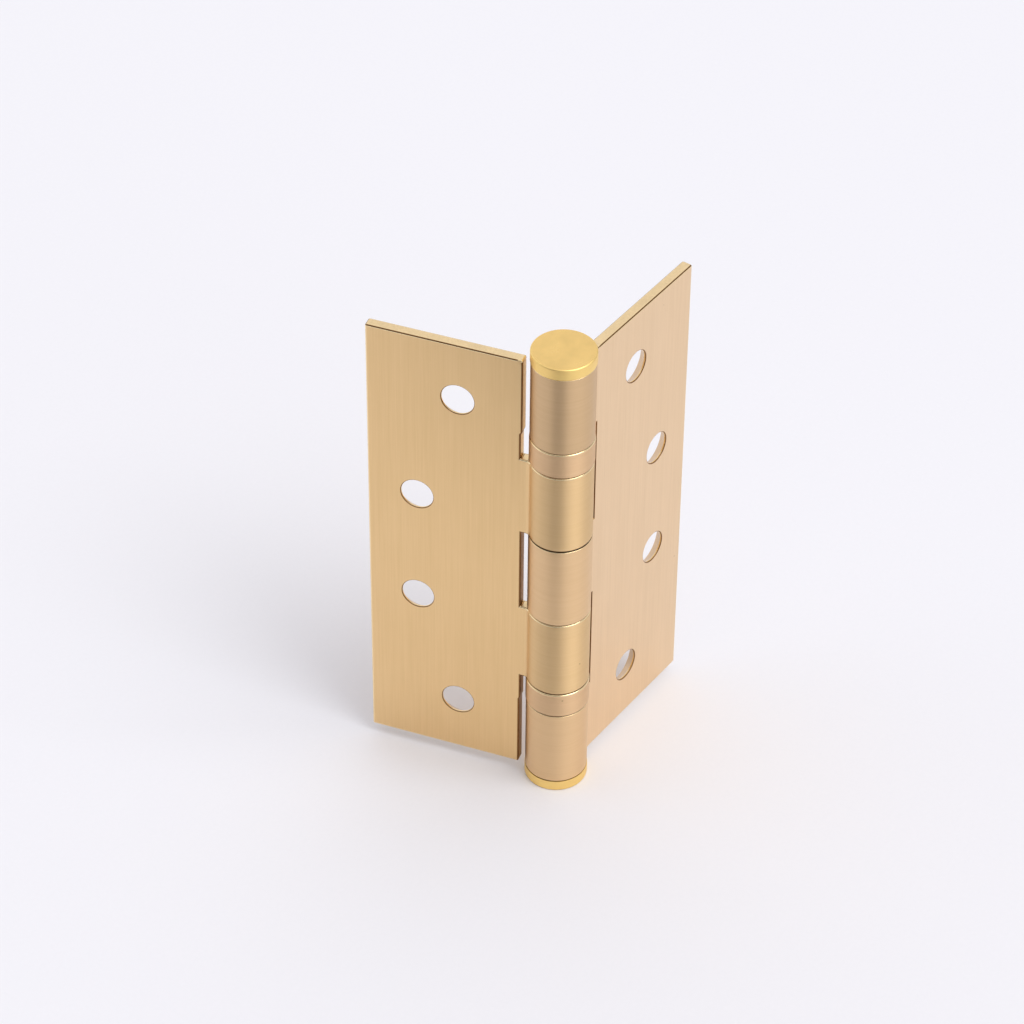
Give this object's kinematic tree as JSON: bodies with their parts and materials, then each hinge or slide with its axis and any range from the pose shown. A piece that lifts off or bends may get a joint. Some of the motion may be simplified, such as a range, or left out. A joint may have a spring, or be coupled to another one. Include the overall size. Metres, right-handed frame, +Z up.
{
  "type": "door hinge",
  "caption": "Ball-bearing butt hinge in satin brass: two rolled leaves with countersunk screw holes, interleaved knuckles on a pin with flat end caps.",
  "frame": {"origin": "on the pin axis, at the flat end of the bottom cap", "axes": "+Z up the pin; +X from the pin towards the outer edge of the three-knuckle leaf; -Y out of that leaf's plain outer face"},
  "size_m": [0.0508, 0.0428, 0.1065],
  "materials": {
    "satin_brass": "satin, brushed along the pin on the leaves and around it on the knuckles",
    "polished_brass": "turned and polished",
    "pin_steel": "ground, brass flash plated",
    "race_steel": "hardened and ground",
    "ball_steel": "polished",
    "cage_brass": "stamped, dull"
  },
  "bodies": {
    "fixed_leaf": {"leaf_three_knuckle": "satin_brass", "hinge_pin": "pin_steel", "top_cap": "polished_brass", "bottom_cap": "polished_brass", "upper_bearing_upper_race": "race_steel", "lower_bearing_shell": "satin_brass", "lower_bearing_lower_race": "race_steel"},
    "swinging_leaf": {"leaf_two_knuckle": "satin_brass", "upper_bearing_shell": "satin_brass", "upper_bearing_lower_race": "race_steel", "lower_bearing_upper_race": "race_steel"},
    "upper_cage": {"upper_bearing_cage": "cage_brass", "upper_bearing_ball_01": "ball_steel", "upper_bearing_ball_02": "ball_steel", "upper_bearing_ball_03": "ball_steel", "upper_bearing_ball_04": "ball_steel", "upper_bearing_ball_05": "ball_steel", "upper_bearing_ball_06": "ball_steel", "upper_bearing_ball_07": "ball_steel", "upper_bearing_ball_08": "ball_steel", "upper_bearing_ball_09": "ball_steel", "upper_bearing_ball_10": "ball_steel", "upper_bearing_ball_11": "ball_steel", "upper_bearing_ball_12": "ball_steel"},
    "lower_cage": {"lower_bearing_cage": "cage_brass", "lower_bearing_ball_01": "ball_steel", "lower_bearing_ball_02": "ball_steel", "lower_bearing_ball_03": "ball_steel", "lower_bearing_ball_04": "ball_steel", "lower_bearing_ball_05": "ball_steel", "lower_bearing_ball_06": "ball_steel", "lower_bearing_ball_07": "ball_steel", "lower_bearing_ball_08": "ball_steel", "lower_bearing_ball_09": "ball_steel", "lower_bearing_ball_10": "ball_steel", "lower_bearing_ball_11": "ball_steel", "lower_bearing_ball_12": "ball_steel"}
  },
  "joints": [
    {"name": "leaf_swing", "type": "hinge", "parent": "fixed_leaf", "child": "swinging_leaf", "pos_m": [0, 0, 0.05325], "axis": [0, 0, 1], "range_deg": [-105, 205]},
    {"name": "upper_cage_orbit", "type": "hinge", "parent": "fixed_leaf", "child": "upper_cage", "pos_m": [0, 0, 0.0836], "axis": [0, 0, 1], "range_deg": [-52.5, 102.5]},
    {"name": "lower_cage_orbit", "type": "hinge", "parent": "fixed_leaf", "child": "lower_cage", "pos_m": [0, 0, 0.0229], "axis": [0, 0, 1], "range_deg": [-52.5, 102.5]}
  ],
  "couplings": [
    {"joint": "upper_cage_orbit", "follows": "leaf_swing", "ratio": 0.5},
    {"joint": "lower_cage_orbit", "follows": "leaf_swing", "ratio": 0.5}
  ]
}
